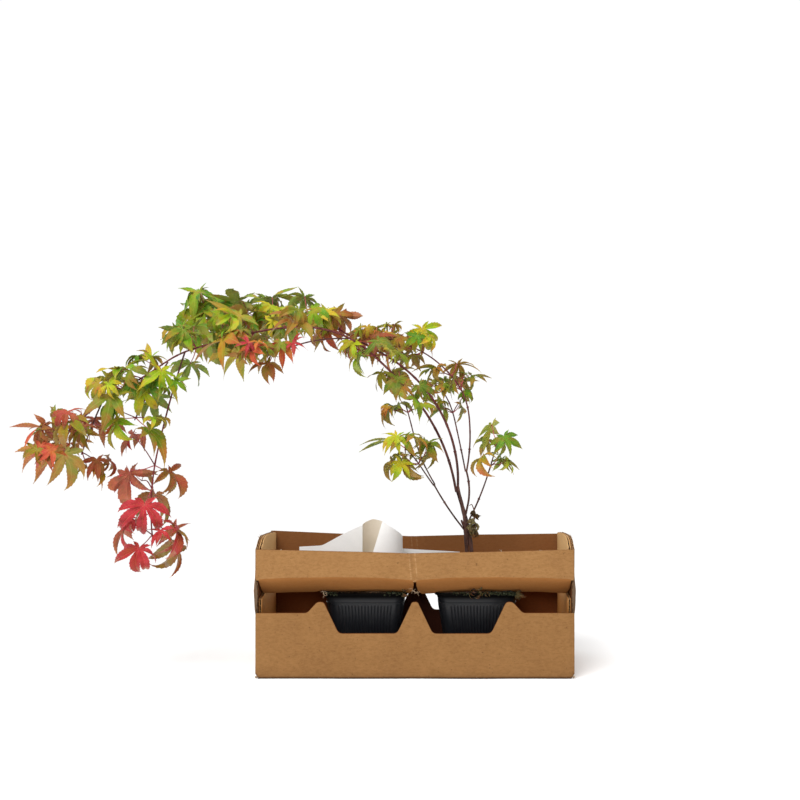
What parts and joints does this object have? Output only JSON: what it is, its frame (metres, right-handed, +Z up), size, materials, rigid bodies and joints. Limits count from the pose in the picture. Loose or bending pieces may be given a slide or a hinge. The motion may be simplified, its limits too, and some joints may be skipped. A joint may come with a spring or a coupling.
{
  "type": "potted japanese maple sapling in a cardboard carrier",
  "caption": "Young Japanese maple with arching stems in a square nursery pot, standing in a corrugated carrier with a spare pot of compost and a curled paper label.",
  "frame": {"origin": "the middle of the carrier's flat underside, on the surface that it stands on", "axes": "+X along the carrier's long side towards the pot that holds the maple, +Y across the carrier away from the front, +Z up"},
  "size_m": [0.6075, 0.2565, 0.4329],
  "materials": {
    "kraft_board": "brown corrugated board, matt, with fine fibres and creased folds",
    "pot_plastic": "thin black moulded plastic with a slight sheen and fine ribs",
    "compost": "dark crumbly bark compost with green moss",
    "label_paper": "white paper, blank, a little shiny outside and cream inside",
    "bark": "smooth dark maroon young bark with pale pores",
    "leaf_green": "thin green leaf, semi-matt, with paler veins",
    "leaf_olive": "thin leaf turning from green to olive yellow",
    "leaf_amber": "thin leaf turning orange brown",
    "leaf_ember": "thin leaf in orange red autumn colour",
    "leaf_red": "thin leaf in deep red autumn colour"
  },
  "bodies": {
    "root": {"bough_a_high": "bark", "bough_a_low": "bark", "bough_b_end": "bark", "bough_b_far": "bark", "bough_b_high": "bark", "bough_b_low": "bark", "bough_d": "bark", "bough_d_short": "bark", "bough_d_tall": "bark", "bough_e": "bark", "bough_f": "bark", "bough_f_high": "bark", "bough_f_low": "bark", "bough_hang": "bark", "bough_spur": "bark", "carrier_back": "kraft_board", "carrier_band_back": "kraft_board", "carrier_band_front": "kraft_board", "carrier_base": "kraft_board", "carrier_end_left": "kraft_board", "carrier_end_right": "kraft_board", "carrier_flap_back_left": "kraft_board", "carrier_flap_back_right": "kraft_board", "carrier_flap_front_left": "kraft_board", "carrier_flap_front_right": "kraft_board", "carrier_front": "kraft_board", "carrier_liner_left": "kraft_board", "carrier_liner_right": "kraft_board", "compost_left": "compost", "compost_right": "compost", "label_curl": "label_paper", "label_strip": "label_paper", "leaves_a_crest": "leaf_olive", "leaves_a_saddle": "leaf_amber", "leaves_a_tip": "leaf_green", "leaves_b_crown": "leaf_green", "leaves_b_fork": "leaf_green", "leaves_b_gold": "leaf_olive", "leaves_b_shoulder": "leaf_olive", "leaves_b_tip": "leaf_ember", "leaves_d_bend": "leaf_green", "leaves_d_low": "leaf_olive", "leaves_d_short": "leaf_green", "leaves_d_tip": "leaf_amber", "leaves_drop": "leaf_ember", "leaves_e": "leaf_green", "leaves_f_high": "leaf_green", "leaves_f_low": "leaf_olive", "leaves_hang": "leaf_red", "leaves_sag": "leaf_green", "leaves_spur": "leaf_ember", "pot_left": "pot_plastic", "pot_right": "pot_plastic", "trunk": "bark"}
  },
  "joints": []
}
